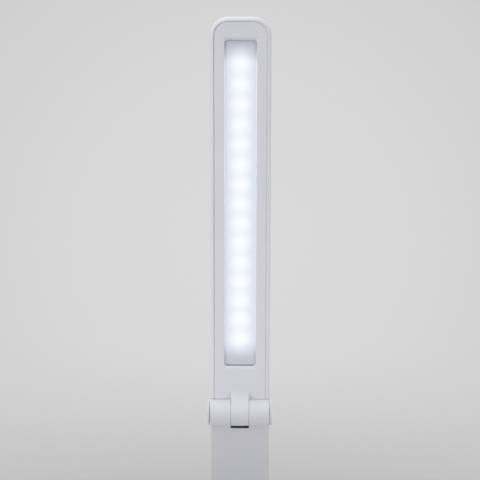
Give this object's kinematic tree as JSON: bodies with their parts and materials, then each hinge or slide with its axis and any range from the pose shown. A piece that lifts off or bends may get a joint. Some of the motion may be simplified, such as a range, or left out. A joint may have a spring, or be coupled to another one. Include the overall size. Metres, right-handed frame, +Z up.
{
  "type": "led table lamp",
  "caption": "Folding LED table lamp: a long light head and a flat stem joined to a weighted rounded base by barrel friction hinges, with a round push button and a charging socket.",
  "frame": {"origin": "on the table under the middle of the base, at the underside of the rubber feet", "axes": "+X to the lamp's right seen from the front, +Y from front to back, +Z up"},
  "size_m": [0.112, 0.168, 0.5687],
  "materials": {
    "white_shell": "satin moulded white",
    "white_cap": "satin moulded white",
    "bottom_plastic": "fine moulded texture",
    "button_plastic": "smooth light grey",
    "frosted_diffuser": "frosted, lit from behind",
    "reflector_plastic": "bright white",
    "light_board": "white solder mask on aluminium",
    "light_chip": "phosphor in a white package",
    "screw_steel": "plated",
    "hinge_steel": "turned steel",
    "spring_steel": "dark spring steel",
    "friction_brass": "plain",
    "lead_insulation": "white insulation",
    "foot_rubber": "soft matt",
    "ballast_steel": "plain rolled plate",
    "battery_wrap": "shrink wrap",
    "circuit_board": "green solder mask",
    "board_parts": "moulded black packages",
    "socket_shell": "plated steel shell"
  },
  "bodies": {
    "base": {"base_top_cover": "white_shell", "base_bottom_plate": "bottom_plastic", "base_screws": "screw_steel", "rubber_feet": "foot_rubber", "ballast_plate": "ballast_steel", "battery_pack": "battery_wrap", "control_board": "circuit_board", "control_parts": "board_parts", "control_screws": "screw_steel", "charging_board": "circuit_board", "charging_screws": "screw_steel", "charging_socket": "socket_shell", "tact_switch": "board_parts", "hinge_post": "white_shell", "post_screws": "screw_steel", "lower_friction_washers": "friction_brass", "lower_hinge_caps": "white_cap", "base_lead": "lead_insulation", "charge_lead": "lead_insulation", "battery_lead": "lead_insulation"},
    "stem": {"stem_housing": "white_shell", "stem_rear_cover": "white_shell", "stem_screws": "screw_steel", "stem_lead": "lead_insulation", "lower_hinge_shaft": "hinge_steel", "lower_disc_springs": "spring_steel", "lower_lock_nuts": "hinge_steel", "upper_friction_washers": "friction_brass", "upper_hinge_caps": "white_cap"},
    "head": {"head_back_cover": "white_shell", "head_front_bezel": "white_shell", "diffuser": "frosted_diffuser", "reflector_frame": "reflector_plastic", "led_board": "light_board", "led_chips": "light_chip", "head_screws": "screw_steel", "head_lead": "lead_insulation", "upper_hinge_shaft": "hinge_steel", "upper_disc_springs": "spring_steel", "upper_lock_nuts": "hinge_steel"},
    "button": {"power_button": "button_plastic", "switch_plunger": "board_parts"}
  },
  "joints": [
    {"name": "stem_hinge", "type": "hinge", "parent": "base", "child": "stem", "pos_m": [0, 0.058, 0.0342], "axis": [1, 0, 0], "range_deg": [0, 90]},
    {"name": "head_hinge", "type": "hinge", "parent": "stem", "child": "head", "pos_m": [0, 0.058, 0.3089], "axis": [1, 0, 0], "range_deg": [0, 180]},
    {"name": "power_press", "type": "slide", "parent": "base", "child": "button", "axis": [0, 0, -1], "range_m": [0, 0.0008], "stiffness_N_per_m": 300, "springref_m": -0.0006}
  ]
}
